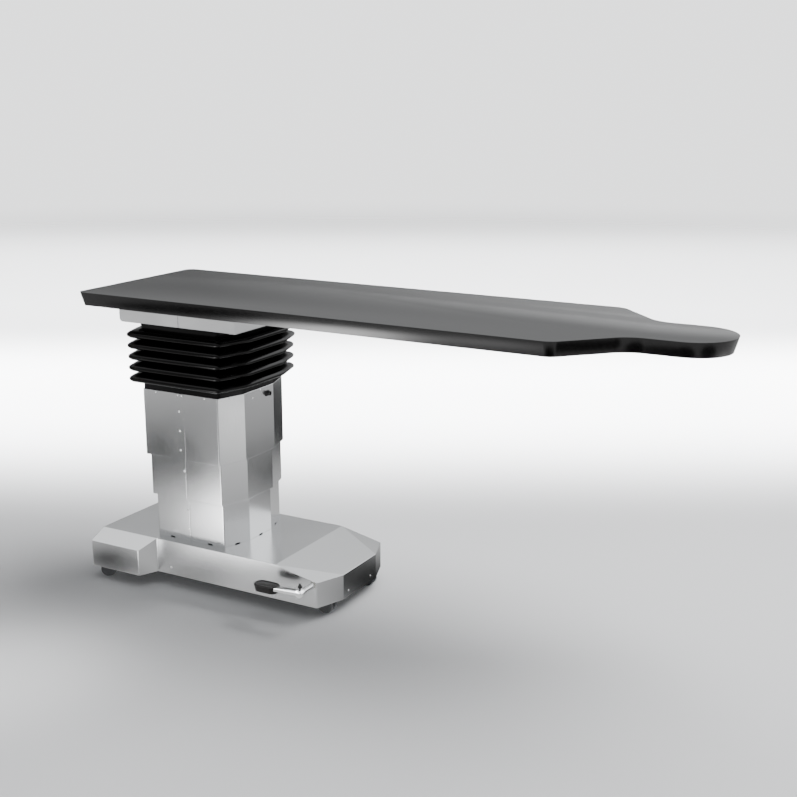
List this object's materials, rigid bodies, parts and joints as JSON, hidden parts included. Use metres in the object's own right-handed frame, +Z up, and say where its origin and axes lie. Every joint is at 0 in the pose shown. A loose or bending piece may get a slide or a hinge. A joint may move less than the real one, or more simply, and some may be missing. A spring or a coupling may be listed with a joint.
{
  "type": "angiography table",
  "caption": "Floating imaging tabletop with a narrow rounded head end on a telescopic tilting column, on a low stainless base with casters and a brake pedal.",
  "frame": {"origin": "on the floor, on the axis of the lift column", "axes": "+X along the tabletop towards its narrow head end, +Y across it to the side away from the pedal, +Z up"},
  "size_m": [1.983, 0.5536, 0.94],
  "materials": {
    "stainless": "satin",
    "carbon_laminate": "satin",
    "foam_core": "matte",
    "bellows_rubber": "gloss",
    "cast_iron": "matte",
    "painted_steel": "satin",
    "ground_steel": "polished",
    "aluminium": "satin",
    "slide_plastic": "satin",
    "chrome": "polished",
    "wheel_plastic": "satin",
    "pad_rubber": "matte",
    "black_plastic": "satin",
    "brass": "polished"
  },
  "bodies": {
    "base": {"base_cover": "stainless", "chassis": "cast_iron", "ballast_weights": "painted_steel", "pump_unit": "painted_steel", "battery_packs": "black_plastic", "control_box": "aluminium", "mains_inlet": "black_plastic", "equipotential_pin": "brass", "pedal_bushes": "slide_plastic", "inner_cover_foot_half": "stainless", "inner_cover_head_half": "stainless", "lift_tube_fixed": "painted_steel", "fixed_tube_pads": "slide_plastic", "cylinder_barrel": "ground_steel"},
    "pedal": {"pedal_lever": "chrome", "pedal_pad": "pad_rubber", "pedal_knob": "black_plastic"},
    "middle_stage": {"middle_cover_foot_half": "stainless", "middle_cover_head_half": "stainless", "lift_tube_middle": "painted_steel", "middle_tube_pads": "slide_plastic", "middle_stage_bracket": "painted_steel", "cylinder_middle_stage": "ground_steel"},
    "outer_stage": {"outer_cover_foot_half": "stainless", "outer_cover_head_half": "stainless", "outer_joint_strip": "stainless", "handset_socket": "black_plastic", "column_head_plate": "painted_steel", "lift_tube_inner": "painted_steel", "inner_tube_pads": "slide_plastic", "cylinder_rod": "chrome", "lower_yoke": "painted_steel", "pitch_gearmotor": "black_plastic", "bellows_lower": "bellows_rubber"},
    "gimbal": {"gimbal_cross": "ground_steel", "pitch_sector": "ground_steel", "roll_sector": "ground_steel"},
    "pitch_pinion": {"pitch_pinion": "ground_steel"},
    "roll_pinion": {"roll_pinion": "ground_steel"},
    "tilt_frame": {"upper_yoke": "painted_steel", "roll_gearmotor": "black_plastic", "tilt_frame_plate": "painted_steel", "float_housing_foot_half": "stainless", "float_housing_head_half": "stainless", "cross_rails": "ground_steel", "bellows_upper": "bellows_rubber"},
    "cross_carriage": {"rail_blocks": "ground_steel", "cross_carriage": "aluminium"},
    "tabletop": {"tabletop_skin": "carbon_laminate", "tabletop_core": "foam_core", "long_rails": "ground_steel"},
    "caster_fork_head_near": {"caster_fork_head_near": "chrome"},
    "caster_wheels_head_near": {"caster_wheels_head_near": "wheel_plastic"},
    "caster_fork_head_far": {"caster_fork_head_far": "chrome"},
    "caster_wheels_head_far": {"caster_wheels_head_far": "wheel_plastic"},
    "caster_fork_foot_near": {"caster_fork_foot_near": "chrome"},
    "caster_wheels_foot_near": {"caster_wheels_foot_near": "wheel_plastic"},
    "caster_fork_foot_far": {"caster_fork_foot_far": "chrome"},
    "caster_wheels_foot_far": {"caster_wheels_foot_far": "wheel_plastic"}
  },
  "joints": [
    {"name": "outer_lift", "type": "slide", "parent": "base", "child": "outer_stage", "axis": [0, 0, 1], "range_m": [-0.25, 0.08]},
    {"name": "middle_lift", "type": "slide", "parent": "base", "child": "middle_stage", "axis": [0, 0, 1], "range_m": [-0.125, 0.04]},
    {"name": "trendelenburg", "type": "hinge", "parent": "outer_stage", "child": "gimbal", "pos_m": [0, 0, 0.738], "axis": [0, 1, 0], "range_deg": [-15, 15], "deforming": ["bellows_lower"]},
    {"name": "lateral_tilt", "type": "hinge", "parent": "gimbal", "child": "tilt_frame", "pos_m": [0, 0, 0.738], "axis": [1, 0, 0], "range_deg": [-15, 15], "deforming": ["bellows_upper"]},
    {"name": "pitch_pinion_turn", "type": "hinge", "parent": "outer_stage", "child": "pitch_pinion", "pos_m": [0, -0.07, 0.666], "axis": [0, 1, 0], "range_deg": [-46, 46]},
    {"name": "roll_pinion_turn", "type": "hinge", "parent": "tilt_frame", "child": "roll_pinion", "pos_m": [-0.07, 0, 0.81], "axis": [1, 0, 0], "range_deg": [-46, 46]},
    {"name": "cross_float", "type": "slide", "parent": "tilt_frame", "child": "cross_carriage", "axis": [0, 1, 0], "range_m": [-0.1, 0.1]},
    {"name": "long_float", "type": "slide", "parent": "cross_carriage", "child": "tabletop", "axis": [1, 0, 0], "range_m": [-0.45, 0.05]},
    {"name": "brake_pedal", "type": "hinge", "parent": "base", "child": "pedal", "pos_m": [0.481, -0.2616, 0.111], "axis": [0, 1, 0], "range_deg": [-15, 15]},
    {"name": "swivel_head_near", "type": "hinge", "parent": "base", "child": "caster_fork_head_near", "pos_m": [0.465, -0.122, 0.08], "axis": [0, 0, 1], "continuous": true},
    {"name": "roll_head_near", "type": "hinge", "parent": "caster_fork_head_near", "child": "caster_wheels_head_near", "pos_m": [0.485, -0.122, 0.025], "axis": [0, 1, 0], "continuous": true},
    {"name": "swivel_head_far", "type": "hinge", "parent": "base", "child": "caster_fork_head_far", "pos_m": [0.465, 0.122, 0.08], "axis": [0, 0, 1], "continuous": true},
    {"name": "roll_head_far", "type": "hinge", "parent": "caster_fork_head_far", "child": "caster_wheels_head_far", "pos_m": [0.485, 0.122, 0.025], "axis": [0, 1, 0], "continuous": true},
    {"name": "swivel_foot_near", "type": "hinge", "parent": "base", "child": "caster_fork_foot_near", "pos_m": [-0.2815, -0.2025, 0.08], "axis": [0, 0, 1], "continuous": true},
    {"name": "roll_foot_near", "type": "hinge", "parent": "caster_fork_foot_near", "child": "caster_wheels_foot_near", "pos_m": [-0.29564, -0.21664, 0.025], "axis": [0.7071, -0.7071, 0], "continuous": true},
    {"name": "swivel_foot_far", "type": "hinge", "parent": "base", "child": "caster_fork_foot_far", "pos_m": [-0.2815, 0.2025, 0.08], "axis": [0, 0, 1], "continuous": true},
    {"name": "roll_foot_far", "type": "hinge", "parent": "caster_fork_foot_far", "child": "caster_wheels_foot_far", "pos_m": [-0.29564, 0.21664, 0.025], "axis": [-0.7071, -0.7071, 0], "continuous": true}
  ],
  "couplings": [
    {"joint": "middle_lift", "follows": "outer_lift", "ratio": 0.5},
    {"joint": "pitch_pinion_turn", "follows": "trendelenburg", "ratio": -3},
    {"joint": "roll_pinion_turn", "follows": "lateral_tilt", "ratio": 3}
  ]
}
